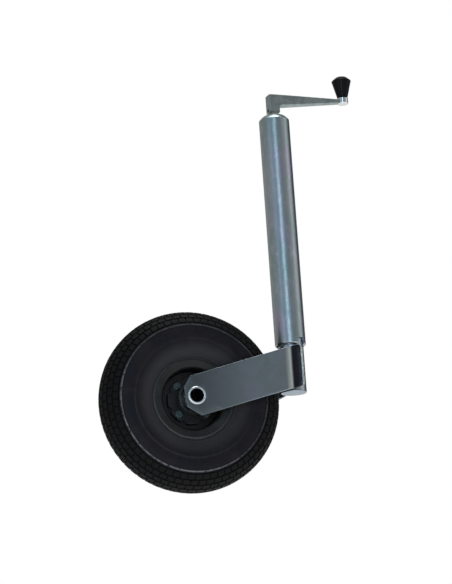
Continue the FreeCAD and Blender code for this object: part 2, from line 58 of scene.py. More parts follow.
tube_low, tube_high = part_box("outer_tube")
tyre_low, tyre_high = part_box("tyre")
arm_low, arm_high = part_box("fork_arm_left")
LIP_DROP = 5.0 * MM  # how far the rolled lip hangs below the tube's clamping wall
TUBE_FOOT = Vector((0, 0, tube_low.z + LIP_DROP))
AXLE = (tyre_low + tyre_high) / 2
TYRE_R = (tyre_high.z - tyre_low.z) / 2
TYRE_HALF_WIDTH = (tyre_high.y - tyre_low.y) / 2
ARM_OUTER_Y = arm_low.y


# ---- procedural materials ----

class Paint:
    """A procedural material: texture layers, placed by the piece's own coordinates, feed one shader."""

    def __init__(self, name, colour, metallic=0.0, roughness=0.5, **sockets):
        self.material = bpy.data.materials.new(name)
        self.material.use_nodes = True
        self.tree = self.material.node_tree
        self.shader = self.tree.nodes["Principled BSDF"]
        self.colour = (*colour, 1.0)
        self.shader.inputs["Base Color"].default_value = self.colour
        self.shader.inputs["Metallic"].default_value = metallic
        self.shader.inputs["Roughness"].default_value = roughness
        for socket, value in sockets.items():
            self.shader.inputs[socket.replace("_", " ")].default_value = value
        self.coordinates = self.tree.nodes.new("ShaderNodeTexCoord").outputs["Object"]
        self.colour_out = None
        self.normal_out = None

    def new(self, kind, links=(), **settings):
        node = self.tree.nodes.new("ShaderNode" + kind)
        for key, value in settings.items():
            setattr(node, key, value)
        for socket, source in links:
            if hasattr(source, "links"):
                self.tree.links.new(source, node.inputs[socket])
            else:
                node.inputs[socket].default_value = source
        return node

    def placed(self, stretch=(1, 1, 1), move=(0, 0, 0)):
        links = [("Vector", self.coordinates), ("Location", move), ("Scale", stretch)]
        return self.new("Mapping", links).outputs[0]

    def noise(self, size, detail=3.0, stretch=(1, 1, 1), move=(0, 0, 0), roughness=0.55, warp=0.0):
        """Soft clouds about size metres across."""
        links = [("Vector", self.placed(stretch, move)), ("Scale", 1.0 / size), ("Detail", detail),
                 ("Roughness", roughness), ("Distortion", warp)]
        return self.new("TexNoise", links).outputs["Fac"]

    def cells(self, size, feature="F1", stretch=(1, 1, 1), move=(0, 0, 0), randomness=1.0):
        links = [("Vector", self.placed(stretch, move)), ("Scale", 1.0 / size), ("Randomness", randomness)]
        return self.new("TexVoronoi", links, feature=feature).outputs["Distance"]

    def ranged(self, value, low, high, to_low=0.0, to_high=1.0, smooth=True):
        links = [("Value", value), ("From Min", low), ("From Max", high)]
        links += [("To Min", to_low), ("To Max", to_high)]
        kind = "SMOOTHSTEP" if smooth else "LINEAR"
        return self.new("MapRange", links, interpolation_type=kind).outputs["Result"]

    def times(self, a, b):
        return self.new("Math", [(0, a), (1, b)], operation="MULTIPLY").outputs[0]

    def plus(self, a, b):
        return self.new("Math", [(0, a), (1, b)], operation="ADD").outputs[0]

    def larger(self, a, b):
        return self.new("Math", [(0, a), (1, b)], operation="MAXIMUM").outputs[0]

    def away(self, value, middle):
        """How far a value is from a middle one, either way."""
        difference = self.new("Math", [(0, value), (1, middle)], operation="SUBTRACT").outputs[0]
        return self.new("Math", [(0, difference)], operation="ABSOLUTE").outputs[0]

    def along(self, axis):
        return self.new("SeparateXYZ", [("Vector", self.coordinates)]).outputs[axis]

    def radius_from(self, centre):
        """Distance from an axis along Y through centre."""
        shifted = self.placed((1, 0, 1), (-centre.x, 0, -centre.z))
        return self.new("VectorMath", [(0, shifted)], operation="LENGTH").outputs["Value"]

    def tint(self, factor, colour, strength=1.0):
        """Mixes another colour in where factor is 1."""
        if strength != 1.0:
            factor = self.times(factor, strength)
        below = self.colour_out or self.colour
        mix = self.new("Mix", [(0, factor), (6, below), (7, (*colour, 1.0))], data_type="RGBA")
        self.colour_out = mix.outputs[2]
        self.tree.links.new(self.colour_out, self.shader.inputs["Base Color"])

    def gloss(self, factor, low, high):
        """Roughness from low to high as factor goes from 0 to 1."""
        roughness = self.ranged(factor, 0, 1, low, high, smooth=False)
        self.tree.links.new(roughness, self.shader.inputs["Roughness"])

    def relief(self, height, depth):
        """A bump of that depth in metres, over the bumps made before."""
        links = [("Height", height), ("Strength", 1.0), ("Distance", depth)]
        if self.normal_out:
            links.append(("Normal", self.normal_out))
        self.normal_out = self.new("Bump", links).outputs["Normal"]
        self.tree.links.new(self.normal_out, self.shader.inputs["Normal"])


LENGTHWISE = (1, 1, 0.02)
# painted highlights on the sidewall's rings, brighter towards the lower left: radius and half width in mm,
# colour, strength
PAINTED_HIGHLIGHT_RINGS = (
    (113.2, 1.7, (0.190, 0.192, 0.205), 0.85),
    (92.0, 2.6, (0.026, 0.026, 0.030), 0.6),
)


def zinc_tube():
    """Bright zinc on drawn tube: draw lines, drifts of blue, green and violet, and handling marks."""
    paint = Paint("zinc_tube", (0.39, 0.43, 0.46), metallic=1.0, roughness=0.3)
    drift = paint.noise(45 * MM, 3, (1, 1, 0.5), warp=0.6)
    violet = paint.noise(32 * MM, 2, (1, 1, 0.45), (3.1, 1.7, 0.4))
    streaks = paint.noise(1.6 * MM, 4, LENGTHWISE)
    fine = paint.noise(0.5 * MM, 2, LENGTHWISE, (1.3, 0.2, 0))
    specks = paint.ranged(paint.cells(5 * MM, stretch=(1, 1, 0.7)), 0.10, 0.03)
    stains = paint.ranged(paint.noise(9 * MM, 5, (1, 1, 0.4), (7, 2, 5), roughness=0.7), 0.58, 0.72)
    scratches = paint.ranged(paint.cells(11 * MM, "DISTANCE_TO_EDGE", (1.4, 1.4, 0.12)), 0.012, 0.0)
    paint.tint(paint.ranged(drift, 0.35, 0.62), (0.30, 0.39, 0.40))
    paint.tint(paint.ranged(violet, 0.5, 0.72), (0.43, 0.40, 0.52), 0.8)
    paint.tint(paint.ranged(streaks, 0.45, 0.75), (0.30, 0.34, 0.36), 0.45)
    paint.tint(stains, (0.26, 0.29, 0.29), 0.55)
    paint.tint(specks, (0.20, 0.22, 0.22), 0.6)
    paint.tint(scratches, (0.62, 0.65, 0.66), 0.5)
    blooms = paint.ranged(paint.noise(7 * MM, 4, (1, 1, 0.45), (4, 4, 1), warp=0.8), 0.52, 0.68)
    paint.tint(blooms, (0.50, 0.53, 0.60), 0.55)
    blend = paint.plus(paint.times(streaks, 0.5), paint.times(stains, 0.5))
    paint.gloss(paint.plus(blend, paint.times(drift, 0.3)), 0.22, 0.46)
    paint.relief(streaks, 0.035 * MM)
    paint.relief(fine, 0.012 * MM)
    paint.relief(paint.times(specks, -1.0), 0.05 * MM)
    paint.relief(paint.noise(14 * MM, 2, (1, 1, 0.6)), 0.22 * MM)
    paint.relief(paint.noise(5 * MM, 3, (1, 1, 0.8), (2, 9, 4)), 0.055 * MM)
    return paint.material


def zinc_plate():
    """Zinc on rolled sheet: sandy grey-green and cloudy, with painted shade darkening it towards the axle
    end, a painted highlight along the bent part, and a painted dark reflection on the slanted part beside
    the welds.
    """
    paint = Paint("zinc_plate", (0.270, 0.312, 0.350), metallic=1.0, roughness=0.45)
    clouds = paint.noise(22 * MM, 5, warp=0.8)
    warm = paint.noise(40 * MM, 2, move=(2, 5, 1))
    grain = paint.noise(1.2 * MM, 3)
    rolled = paint.noise(2.4 * MM, 3, (0.08, 1, 1), (0, 0, 4))
    spots = paint.ranged(paint.cells(6 * MM), 0.12, 0.03)
    rubs = paint.ranged(paint.noise(7 * MM, 6, (0.3, 1, 1), (8, 1, 3), roughness=0.75), 0.6, 0.72)
    paint.tint(paint.ranged(clouds, 0.36, 0.66), (0.222, 0.265, 0.275))
    paint.tint(paint.ranged(warm, 0.48, 0.7), (0.290, 0.305, 0.375), 0.6)
    paint.tint(paint.ranged(rolled, 0.45, 0.75), (0.175, 0.20, 0.205), 0.2)
    paint.tint(spots, (0.12, 0.135, 0.135), 0.55)
    paint.tint(rubs, (0.34, 0.37, 0.38), 0.4)
    x = paint.along("X")
    # painted shade: the plate gets darker towards the axle end
    paint.tint(paint.ranged(x, AXLE.x + 120 * MM, AXLE.x - 15 * MM), (0.100, 0.118, 0.124), 0.9)
    # painted highlight: a lighter band along the bent part of the arm
    painted_bend_highlight = paint.times(paint.ranged(x, -25 * MM, -21 * MM), paint.ranged(x, -11 * MM, -14 * MM))
    paint.tint(painted_bend_highlight, (0.43, 0.48, 0.47), 0.75)
    # painted dark reflection: the slanted part next to the welds is painted nearly black navy
    painted_dark_reflection = paint.times(paint.ranged(x, -13.5 * MM, -9.5 * MM), paint.ranged(clouds, 0.1, 0.3, 0.95, 1.0))
    paint.tint(painted_dark_reflection, (0.020, 0.021, 0.045), 0.985)
    paint.gloss(paint.plus(paint.times(clouds, 0.7), paint.times(rolled, 0.3)), 0.24, 0.44)
    paint.relief(grain, 0.03 * MM)
    paint.relief(rolled, 0.03 * MM)
    paint.relief(paint.noise(18 * MM, 2), 0.15 * MM)
    return paint.material


def zinc_flare():
    """The polished flare of the axle: bright zinc with rolling marks round it."""
    paint = Paint("zinc_flare", (0.66, 0.71, 0.72), metallic=1.0, roughness=0.25)
    marks = paint.noise(1.5 * MM, 3)
    # painted shade: the inside of the axle's hole is painted near black, and made rough
    bore_painted_shade = paint.ranged(paint.radius_from(AXLE), 11.0 * MM, 10.2 * MM)
    paint.tint(paint.ranged(marks, 0.5, 0.7), (0.48, 0.53, 0.54), 0.7)
    paint.tint(bore_painted_shade, (0.004, 0.005, 0.012), 0.995)
    paint.gloss(paint.larger(paint.times(marks, 0.25), bore_painted_shade), 0.18, 0.90)
    paint.relief(marks, 0.03 * MM)
    return paint.material


def painted_shade_hub():
    """Plated steel deep in the wheel, painted nearly black as shade, with lighter cloudy patches."""
    paint = Paint("painted_shade_hub", (0.030, 0.036, 0.038), metallic=0.7, roughness=0.5)
    film = paint.noise(5 * MM, 5, warp=0.6)
    paint.tint(paint.ranged(film, 0.42, 0.68), (0.055, 0.062, 0.062))
    paint.gloss(film, 0.35, 0.65)
    paint.relief(film, 0.04 * MM)
    return paint.material


def bright_zinc():
    """Clean zinc on the plug at the tube's foot, paler than the arms."""
    paint = Paint("bright_zinc", (0.29, 0.355, 0.42), metallic=1.0, roughness=0.3)
    clouds = paint.noise(9 * MM, 4, warp=0.6)
    specks = paint.ranged(paint.cells(3 * MM), 0.15, 0.04)
    paint.tint(paint.ranged(clouds, 0.42, 0.68), (0.24, 0.31, 0.36))
    paint.tint(specks, (0.17, 0.20, 0.21), 0.5)
    paint.gloss(clouds, 0.22, 0.42)
    paint.relief(clouds, 0.08 * MM)
    return paint.material


def weld():
    """Plated weld metal: silvery crests, darker and rougher at its toes, with spatter pits."""
    paint = Paint("weld", (0.58, 0.64, 0.62), metallic=1.0, roughness=0.4)
    soot = paint.noise(3 * MM, 5, roughness=0.7)
    pits = paint.ranged(paint.cells(1.8 * MM), 0.2, 0.05)
    paint.tint(paint.ranged(soot, 0.45, 0.68), (0.20, 0.22, 0.22), 0.8)
    paint.tint(pits, (0.10, 0.11, 0.11), 0.6)
    paint.gloss(soot, 0.25, 0.6)
    paint.relief(soot, 0.12 * MM)
    paint.relief(paint.times(pits, -1.0), 0.12 * MM)
    return paint.material


def fastener():
    """Small zinc-plated hardware, painted dark as shade deep in the wheel: cooler in tone, with turned rings
    and dull patches.
    """
    paint = Paint("fastener", (0.085, 0.125, 0.132), metallic=1.0, roughness=0.35)
    patches = paint.noise(4 * MM, 4, warp=0.5)
    fine = paint.noise(0.7 * MM, 3)
    paint.tint(paint.ranged(patches, 0.4, 0.66), (0.06, 0.085, 0.09))
    paint.tint(paint.ranged(fine, 0.6, 0.75), (0.04, 0.045, 0.045), 0.5)
    paint.gloss(patches, 0.22, 0.5)
    paint.relief(fine, 0.02 * MM)
    return paint.material


def crank_forging():
    """Zinc over a forging: a slightly lumpy skin under a grey-green plate, scuffed bright."""
    paint = Paint("crank_forging", (0.335, 0.38, 0.385), metallic=1.0, roughness=0.38)
    skin = paint.noise(3.5 * MM, 5, roughness=0.6)
    clouds = paint.noise(14 * MM, 3, move=(4, 2, 0))
    scale = paint.ranged(paint.cells(2.6 * MM), 0.25, 0.05)
    paint.tint(paint.ranged(clouds, 0.4, 0.62), (0.245, 0.30, 0.29))
    paint.tint(paint.ranged(skin, 0.55, 0.72), (0.215, 0.22, 0.25), 0.7)
    paint.tint(scale, (0.18, 0.20, 0.19), 0.35)
    paint.gloss(paint.plus(paint.times(skin, 0.6), paint.times(clouds, 0.4)), 0.24, 0.5)
    paint.relief(skin, 0.16 * MM)
    paint.relief(paint.noise(9 * MM, 2), 0.3 * MM)
    return paint.material


def bright_stud():
    """Polished bright plating with fine turned lines."""
    paint = Paint("bright_stud", (0.72, 0.74, 0.75), metallic=1.0, roughness=0.12)
    rings = paint.noise(0.6 * MM, 2, (0.02, 0.02, 1))
    haze = paint.noise(4 * MM, 3)
    paint.tint(paint.ranged(haze, 0.5, 0.7), (0.60, 0.63, 0.65), 0.6)
    paint.gloss(haze, 0.06, 0.22)
    paint.relief(rings, 0.012 * MM)
    return paint.material


def spring_steel():
    """Blued spring steel, oiled, with a straw tint in places."""
    paint = Paint("spring_steel", (0.10, 0.10, 0.11), metallic=1.0, roughness=0.35)
    heat = paint.noise(5 * MM, 3)
    paint.tint(paint.ranged(heat, 0.5, 0.7), (0.20, 0.15, 0.09), 0.6)
    paint.gloss(heat, 0.25, 0.5)
    paint.relief(paint.noise(0.8 * MM, 3), 0.015 * MM)
    return paint.material


def black_knob():
    """Glossy moulded plastic: faint orange peel, finger haze and hairline scratches."""
    paint = Paint("black_knob", (0.0022, 0.0023, 0.0032), roughness=0.18, Specular_IOR_Level=0.11)
    haze = paint.noise(8 * MM, 4, warp=0.4)
    hairlines = paint.ranged(paint.cells(5 * MM, "DISTANCE_TO_EDGE", (1, 1, 0.3)), 0.01, 0.0)
    paint.tint(paint.ranged(haze, 0.5, 0.75), (0.0055, 0.0055, 0.0068))
    paint.gloss(paint.plus(paint.times(haze, 0.7), paint.times(hairlines, 0.3)), 0.10, 0.30)
    paint.relief(paint.noise(1.1 * MM, 2), 0.010 * MM)
    return paint.material


def machined(name, colour, dark, rough_low, rough_high):
    """Turned steel, oiled: fine lathe marks and darker patches where the oil sits."""
    paint = Paint(name, colour, metallic=1.0, roughness=rough_low)
    lathe = paint.noise(0.5 * MM, 2, (0.05, 0.05, 1))
    oil = paint.noise(10 * MM, 4, warp=0.7)
    paint.tint(paint.ranged(oil, 0.42, 0.66), dark)
    paint.gloss(paint.plus(paint.times(oil, 0.6), paint.times(lathe, 0.4)), rough_low, rough_high)
    paint.relief(lathe, 0.02 * MM)
    return paint.material


def screw_steel():
    return machined("screw_steel", (0.33, 0.32, 0.31), (0.14, 0.12, 0.10), 0.2, 0.5)


def bearing_steel():
    return machined("bearing_steel", (0.55, 0.56, 0.57), (0.40, 0.41, 0.42), 0.08, 0.25)


def cage_brass():
    return machined("cage_brass", (0.60, 0.42, 0.18), (0.38, 0.25, 0.10), 0.25, 0.5)


def white_nylon():
    """Milky moulded nylon with a little grease."""
    paint = Paint("white_nylon", (0.62, 0.60, 0.54), roughness=0.45,
                  Subsurface_Weight=0.15, Subsurface_Scale=0.002)
    cloud = paint.noise(8 * MM, 4)
    paint.tint(paint.ranged(cloud, 0.45, 0.7), (0.48, 0.44, 0.36))
    paint.gloss(cloud, 0.3, 0.6)
    paint.relief(paint.noise(1.5 * MM, 3), 0.02 * MM)
    return paint.material


def soft_rubber(name, colour, pale, rough_low, rough_high):
    """Dark rubber or plastic with a fine grain, paler where dust sits."""
    paint = Paint(name, colour, roughness=rough_high)
    dust = paint.noise(6 * MM, 5, roughness=0.7)
    paint.tint(paint.ranged(dust, 0.5, 0.72), pale)
    paint.gloss(dust, rough_low, rough_high)
    paint.relief(paint.noise(0.9 * MM, 4), 0.03 * MM)
    return paint.material


def seal_rubber():
    return soft_rubber("seal_rubber", (0.012, 0.012, 0.013), (0.03, 0.03, 0.03), 0.4, 0.6)


def tube_rubber():
    return soft_rubber("tube_rubber", (0.015, 0.015, 0.016), (0.06, 0.055, 0.05), 0.5, 0.8)


def valve_plastic():
    return soft_rubber("valve_plastic", (0.010, 0.010, 0.011), (0.022, 0.022, 0.024), 0.25, 0.45)


def tyre_rubber():
    """Black rubber with a violet-brown cast: mould grain, dust in the tread's gaps, a painted sheen towards
    the rim, and painted highlights on the sidewall's rings, brightest towards the lower left.
    """
    paint = Paint("tyre_rubber", (0.0078, 0.0070, 0.0105), roughness=0.55, Specular_IOR_Level=0.12)
    radius = paint.radius_from(AXLE)
    bloom = paint.noise(38 * MM, 4, warp=0.8)
    dust = paint.noise(5 * MM, 6, roughness=0.75)
    grain = paint.noise(0.7 * MM, 3)
    tread = paint.ranged(radius, TYRE_R * 0.80, TYRE_R * 0.84)
    gap = paint.ranged(radius, TYRE_R * 0.985, TYRE_R * 0.955)
    painted_sheen_near_rim = paint.ranged(radius, 92 * MM, 68 * MM)
    paint.tint(paint.ranged(bloom, 0.42, 0.66), (0.0125, 0.0105, 0.0135))
    paint.tint(paint.ranged(bloom, 0.5, 0.36), (0.0062, 0.0074, 0.0115), 0.8)
    # painted sheen: the sidewall is lighter towards the rim
    paint.tint(painted_sheen_near_rim, (0.0400, 0.0390, 0.0420), 0.8)
    paint.tint(paint.ranged(dust, 0.5, 0.75), (0.0170, 0.0155, 0.0155), 0.5)
    paint.tint(tread, (0.0018, 0.0018, 0.0021), 0.9)
    dusty_gap = paint.times(tread, paint.times(gap, paint.ranged(dust, 0.3, 0.7)))
    paint.tint(dusty_gap, (0.0070, 0.0066, 0.0056), 0.4)
    # painted highlight on the sidewall rings, broken up by the dust noise and strongest towards the lower
    # left
    across = paint.times(paint.plus(paint.along("X"), paint.along("Z")), -1.0)
    middle = -(AXLE.x + AXLE.z)
    painted_highlight_side = paint.ranged(across, middle - 20 * MM, middle + 130 * MM, 0.30, 1.0)
    patchy_painted_highlight = paint.times(paint.ranged(dust, 0.36, 0.56), painted_highlight_side)
    for at, half, colour, strength in PAINTED_HIGHLIGHT_RINGS:
        ring = paint.ranged(paint.away(radius, at * MM), half * MM, 0.2 * half * MM)
        paint.tint(paint.times(ring, patchy_painted_highlight), colour, strength)
    paint.gloss(paint.plus(paint.times(dust, 0.6), paint.times(tread, 0.4)), 0.36, 0.72)
    paint.relief(grain, 0.05 * MM)
    paint.relief(dust, 0.08 * MM)
    return paint.material


def rim_plastic():
    """Satin moulded plastic of the rim, grey-green in the light, with a fine texture and wheel dust, painted
    shade in the well and a painted highlight on the lip's outer edge.
    """
    paint = Paint("rim_plastic", (0.0060, 0.0070, 0.0068), roughness=0.4, Specular_IOR_Level=0.4)
    cloud = paint.noise(16 * MM, 4, warp=0.6)
    dust = paint.noise(3 * MM, 6, roughness=0.75)
    turned = paint.ranged(paint.noise(0.9 * MM, 2), 0.3, 0.7)
    paint.tint(paint.ranged(cloud, 0.42, 0.66), (0.0095, 0.0115, 0.0105))
    paint.tint(paint.ranged(dust, 0.52, 0.75), (0.015, 0.016, 0.015), 0.5)
    radius = paint.radius_from(AXLE)
    # painted shade: the well inside the lip is darker
    paint.tint(paint.ranged(radius, 47.5 * MM, 45.5 * MM), (0.0014, 0.0017, 0.0020), 0.75)
    # painted highlight: a bright ring on the lip's outer edge
    paint.tint(paint.ranged(radius, 60.6 * MM, 61.6 * MM), (0.120, 0.135, 0.135), 0.8)
    paint.gloss(paint.plus(paint.times(cloud, 0.5), paint.times(dust, 0.5)), 0.24, 0.52)
    paint.relief(turned, 0.02 * MM)
    paint.relief(dust, 0.03 * MM)
    return paint.material


FINISHES = {
    "zinc_tube": zinc_tube,
    "zinc_plate": zinc_plate,
    "weld": weld,
    "fastener": fastener,
    "crank_forging": crank_forging,
    "bright_stud": bright_stud,
    "spring_steel": spring_steel,
    "black_knob": black_knob,
    "screw_steel": screw_steel,
    "bearing_steel": bearing_steel,
    "cage_brass": cage_brass,
    "white_nylon": white_nylon,
    "seal_rubber": seal_rubber,
    "tyre_rubber": tyre_rubber,
    "tube_rubber": tube_rubber,
    "valve_plastic": valve_plastic,
    "rim_plastic": rim_plastic,
}
MATERIALS = {slot: make() for slot, make in FINISHES.items()}
# the hub's finish is painted nearly black, as shade deep in the wheel
PAINTED_SHADE_HUB = painted_shade_hub()
# nodes whose plating looks unlike the rest of their slot
OWN_FINISH = {
    "axle_tube": zinc_flare(),
    # the hub sleeve and spacers take the finish painted dark as shade
    "hub_sleeve": PAINTED_SHADE_HUB,
    "axle_spacers": PAINTED_SHADE_HUB,
    "leg_end_plug": bright_zinc(),
}
NODE_SLOT = {part["node"]: part["material_slot"] for part in frame["record"]["subparts"]}
BODY_OF = {node: body for body, nodes in frame["record"]["behaviour"]["bodies"].items() for node in nodes}


def finish_cad_nodes():
    """Gives every CAD node its material."""
    for name, node in NODES.items():
        node.data.materials.clear()
        node.data.materials.append(OWN_FINISH.get(name, MATERIALS[NODE_SLOT[name]]))


# ---- mesh pieces ----

def add_piece(name, points, faces, node, smooth_angle=35.0):
    """A closed mesh that stands for a CAD node and rides on its body."""
    mesh = bpy.data.meshes.new(name)
    mesh.from_pydata([tuple(p) for p in points], [], faces)
    work = bmesh.new()
    work.from_mesh(mesh)
    bmesh.ops.recalc_face_normals(work, faces=work.faces)
    work.to_mesh(mesh)
    work.free()
    mesh.shade_smooth()
    mesh.set_sharp_from_angle(angle=math.radians(smooth_angle))
    mesh.materials.append(MATERIALS[NODE_SLOT[node]])
    piece = bpy.data.objects.new(name, mesh)
    bpy.context.scene.collection.objects.link(piece)
    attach(piece, BODY_OF[node])
    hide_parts(node)
    return piece


def arc_points(start, through, end, count):
    """Points along the circle through three plane points, without the first."""
    (ax, ay), (bx, by), (cx, cy) = start, through, end
    d = 2 * (ax * (by - cy) + bx * (cy - ay) + cx * (ay - by))
    ux = ((ax**2 + ay**2) * (by - cy) + (bx**2 + by**2) * (cy - ay) + (cx**2 + cy**2) * (ay - by)) / d
    uy = ((ax**2 + ay**2) * (cx - bx) + (bx**2 + by**2) * (ax - cx) + (cx**2 + cy**2) * (bx - ax)) / d
    radius = math.hypot(ax - ux, ay - uy)
    first = math.atan2(ay - uy, ax - ux)
    middle = (math.atan2(by - uy, bx - ux) - first + math.pi) % (2 * math.pi) - math.pi
    last = (math.atan2(cy - uy, cx - ux) - first + math.pi) % (2 * math.pi) - math.pi
    if middle * last < 0:
        last += math.copysign(2 * math.pi, middle)
    turns = [first + last * i / count for i in range(1, count + 1)]
    return [(ux + radius * math.cos(t), uy + radius * math.sin(t)) for t in turns]


def grid_faces(columns, rows):
    """Faces of a grid that closes on itself both ways; points run along a column first."""
    faces = []
    for c in range(columns):
        here, after = c * rows, (c + 1) % columns * rows
        for row in range(rows):
            up = (row + 1) % rows
            faces.append((here + row, here + up, after + up, after + row))
    return faces


# ---- tyre, in mm about its axle ----

BEAD_R = 50.8
RIM_EDGE_R = 62.6
WIDEST_R = 98.0
LINING_TOP = (131.0, 0.0)
CROWN_RISE = TYRE_R / MM - WIDEST_R
HALF_WIDTH = TYRE_HALF_WIDTH / MM
TREAD_START_R = 116.5
TREAD_START_TURN = math.acos((TREAD_START_R - WIDEST_R) / CROWN_RISE)
SHOULDER_STEPS = 26
PITCHES = 66
ROWS_PER_SIDE = 4
GROOVE_DEPTH = 1.9
GROOVE_WIDTH = 1.3
# a groove's sloping wall, and the rounding over it
WALL = 0.55
ROUNDING = 0.5
CHAMFER = 0.25
# the sidewall lies this far inside the tyre's outline
SINK = 1.1
# moulded rings of the sidewall: radius, half width, height
SIDE_RINGS = (
    (65.2, 1.5, 0.9),
    (92.0, 1.7, 0.75),
    (113.2, 1.6, 2.1),
)


def ring_height(radius):
    """How far the sidewall stands out of the tyre's outline: sunk, but for the moulded rings."""
    height = -SINK
    for at, half, rise in SIDE_RINGS:
        away = abs(radius - at) / half
        if away < 1:
            height += rise * (1 - away) ** 0.8
    return height


def crown_point(angle, sunk):
    """(radius, y) on the crown's ellipse, sunk into the rubber by a distance."""
    cos, sin = math.cos(angle), math.sin(angle)
    normal = Vector((cos / CROWN_RISE, sin / HALF_WIDTH)).normalized()
    return WIDEST_R + CROWN_RISE * cos - sunk * normal.x, HALF_WIDTH * sin - sunk * normal.y


def sidewall():
    """(radius, y) from the bead toe out to where the tread starts."""
    points = [(BEAD_R, 14.0), (BEAD_R, 22.8)]
    points += arc_points((BEAD_R, 22.8), (51.4, 24.4), (53.0, 25.0), 4) + [(60.6, 26.2)]
    points += arc_points((60.6, 26.2), (61.9, 26.5), (RIM_EDGE_R, 27.4), 3)
    for r, y in arc_points((RIM_EDGE_R, 27.4), (78.0, HALF_WIDTH - 3.2), (WIDEST_R, HALF_WIDTH), 44):
        points.append((r, y + ring_height(r) * min(1.0, (r - RIM_EDGE_R) / 1.5)))
    for i in range(1, SHOULDER_STEPS + 1):
        angle = math.pi / 2 + (TREAD_START_TURN - math.pi / 2) * i / SHOULDER_STEPS
        r = crown_point(angle, 0)[0]
        points.append(crown_point(angle, -ring_height(r)))
    return points


def tread_stations():
    """(radius, y, depth, row) across the right half of the tread, from the shoulder to the centre row."""
    row = TREAD_START_TURN * CROWN_RISE / (ROWS_PER_SIDE + 0.5)
    half_gap = GROOVE_WIDTH / 2
    stations = []

    def add(distance, depth, index=None):
        stations.append((*crown_point(distance / CROWN_RISE, depth), depth, index))

    for index in range(ROWS_PER_SIDE, -1, -1):
        top = row * (index + 0.5) - half_gap
        add(top, GROOVE_DEPTH)
        add(top - WALL, CHAMFER, index)
        add(top - WALL - ROUNDING, 0.0, index)
        if index:
            bottom = row * (index - 0.5) + half_gap
            add((top + bottom) / 2, 0.0, index)
            add(bottom + WALL + ROUNDING, 0.0, index)
            add(bottom + WALL, CHAMFER, index)
            add(bottom, GROOVE_DEPTH)
    return stations


def tyre_section():
    """(radius, y, depth, row) round the whole section; row is None outside the tread."""
    right = [(r, y, 0.0, None) for r, y in sidewall()] + tread_stations()
    outer = right + [(r, -y, depth, row) for r, y, depth, row in reversed(right)]
    lining = [LINING_TOP] + arc_points(LINING_TOP, (122.3, 24.6), (WIDEST_R, 34.5), 10)
    lining += arc_points((WIDEST_R, 34.5), (77.0, 30.9), (61.0, 20.5), 8) + [(56.0, 15.0)]
    left_lining = [(r, -y, 0.0, None) for r, y in reversed(lining)]
    return outer + left_lining + [(r, y, 0.0, None) for r, y in lining[1:]]


def tyre():
    """The tyre, with its bead, sidewall rings and small staggered blocks on shoulder and crown."""
    section = tyre_section()
    edge = GROOVE_WIDTH / 2
    pitch = 2 * math.pi * (TYRE_R / MM - GROOVE_DEPTH) / PITCHES
    phases = [0.25, 0.75]
    for groove in (0.0, 0.5):
        for cut in (edge, edge + WALL):
            phases += [(groove - cut / pitch) % 1.0, (groove + cut / pitch) % 1.0]
    phases.sort()
    points = []
    for number in range(PITCHES):
        for phase in phases:
            turn = 2 * math.pi * (number + phase) / PITCHES
            for r, y, depth, row in section:
                if row is not None:
                    stagger = 0.5 * (row % 2)
                    away = abs((phase - stagger + 0.5) % 1.0 - 0.5) * pitch
                    drop = (GROOVE_DEPTH - depth) * min(1.0, max(0.0, (edge + WALL - away) / WALL))
                    lean = math.atan2(y, r - WIDEST_R)
                    r, y = r - drop * math.cos(lean), y - drop * math.sin(lean)
                points.append(AXLE + Vector((r * math.cos(turn), y, r * math.sin(turn))) * MM)
    return add_piece("tyre_treaded", points, grid_faces(PITCHES * len(phases), len(section)), "tyre", 28.0)


# ---- fork arms and welds, in mm ----

ARM_FACE = ARM_OUTER_Y / MM
ARM_T = 5.0
ARM_HALF = 31.5
SLOPE = math.radians(15.5)
BEND_R = 18.0
BEND_TURN = math.radians(51.8)
BEND_X = -25.2
BEND_START = BEND_X - AXLE.x / MM
BEND_MIDDLE_R = BEND_R - ARM_T / 2
BEND_END = BEND_START + BEND_MIDDLE_R * BEND_TURN
STRAIGHT = 35.5
FLAT_STEPS, BEND_STEPS, STRAIGHT_STEPS = 6, 16, 14
RAYS = 56
CORNER_GAP = 0.03
ARM_EDGE = 0.7
SHARP = math.radians(60)
NOSE = ((-2.0, -31.5), (-20.0, -12.0), (-14.5, 18.5), (0.0, 31.5))
NOSE_LENGTH = 40.0
AXLE_HOLE_R = 11.3
TOP_GAP = 0.5
SEAM_REACH = 20.9
SEAM_TURN = math.radians(57.0)
SEAM_R = 2.55
RIPPLE = 2.3


def arm_top(length):
    """Height of the strap's upper edge above the axle, at a length along it, under the tube's lip."""
    limit = (tube_low.z - AXLE.z) / MM - TOP_GAP
    return min(length * math.tan(SLOPE) + ARM_HALF / math.cos(SLOPE), limit)


def arm_foot(length):
    """Height of the strap's lower edge above the axle, at a length along it."""
    return length * math.tan(SLOPE) - ARM_HALF / math.cos(SLOPE)


def nose_outline():
    """The strap's free end as a polygon in (length, height) about the axle."""
    cos, sin = math.cos(SLOPE), math.sin(SLOPE)
    corners = [(a * cos - u * sin, a * sin + u * cos) for a, u in NOSE]
    return [(NOSE_LENGTH, arm_foot(NOSE_LENGTH))] + corners + [(NOSE_LENGTH, arm_top(NOSE_LENGTH))]


def ray_hit(turn, polygon):
    """Where a ray from the axle meets a convex polygon around it."""
    ray = Vector((math.cos(turn), math.sin(turn)))
    for a, b in zip(polygon, polygon[1:] + polygon[:1]):
        a, b = Vector(a), Vector(b)
        side = b - a
        cross = ray.x * side.y - ray.y * side.x
        if abs(cross) < 1e-9:
            continue
        reach = (a.x * side.y - a.y * side.x) / cross
        share = (a.x * ray.y - a.y * ray.x) / cross
        if reach > 0 and -1e-7 <= share <= 1 + 1e-7:
            return ray * reach
    raise ValueError("the polygon does not surround the axle")


